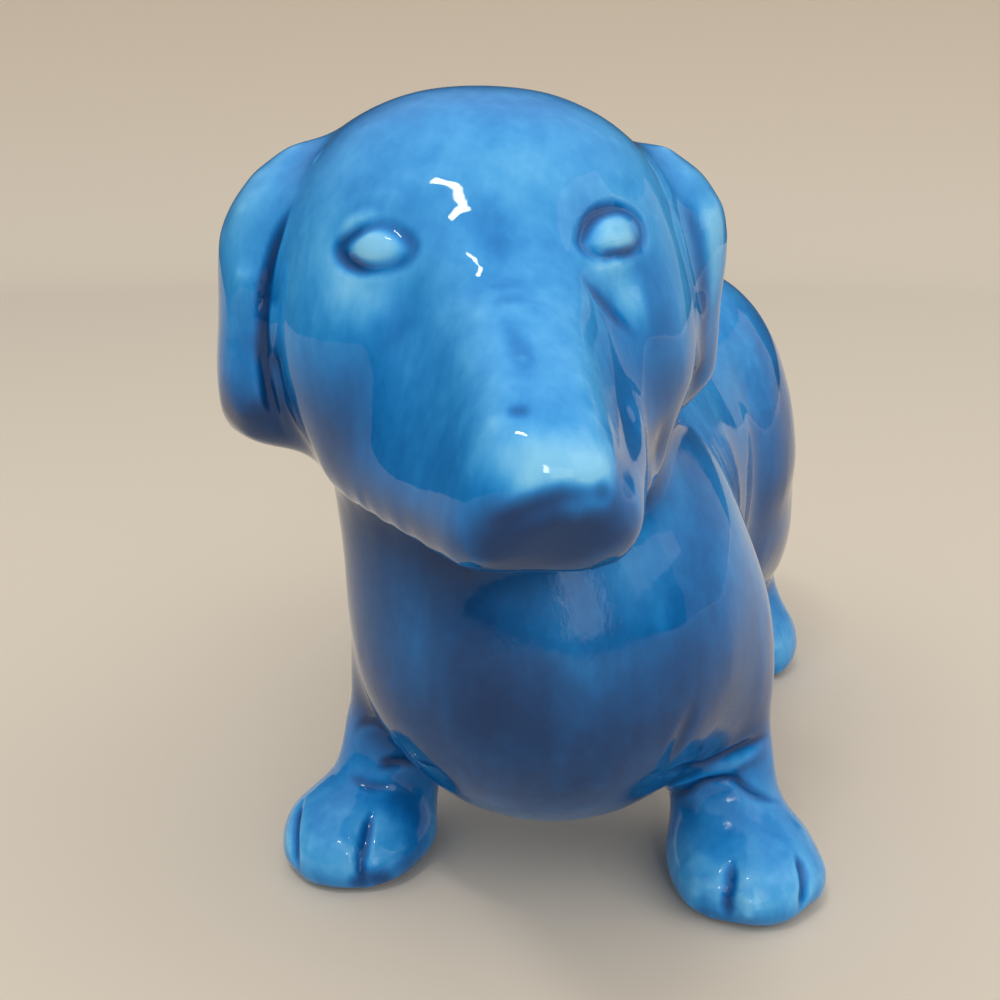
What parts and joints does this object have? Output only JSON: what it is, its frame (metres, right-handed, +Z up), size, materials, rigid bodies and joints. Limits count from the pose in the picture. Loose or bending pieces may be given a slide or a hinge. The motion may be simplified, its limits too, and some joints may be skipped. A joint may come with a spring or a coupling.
{
  "type": "dachshund figurine",
  "caption": "Standing long-bodied dog ornament with its head turned a little to one side, cast in one piece and covered in a glossy blue glaze; it rests on its paws.",
  "frame": {"origin": "on the ground that the paws stand on, under the middle of the figure's bounding box", "axes": "+Z up; the dog faces -Y, so +Y runs along its back to the tail, and +X is its own left side"},
  "size_m": [0.122, 0.2668, 0.1632],
  "materials": {
    "blue_glaze": "glossy translucent blue glaze over a pale body, paler on raised places and navy where it has pooled in the creases"
  },
  "bodies": {
    "root": {"dachshund": "blue_glaze"}
  },
  "joints": []
}
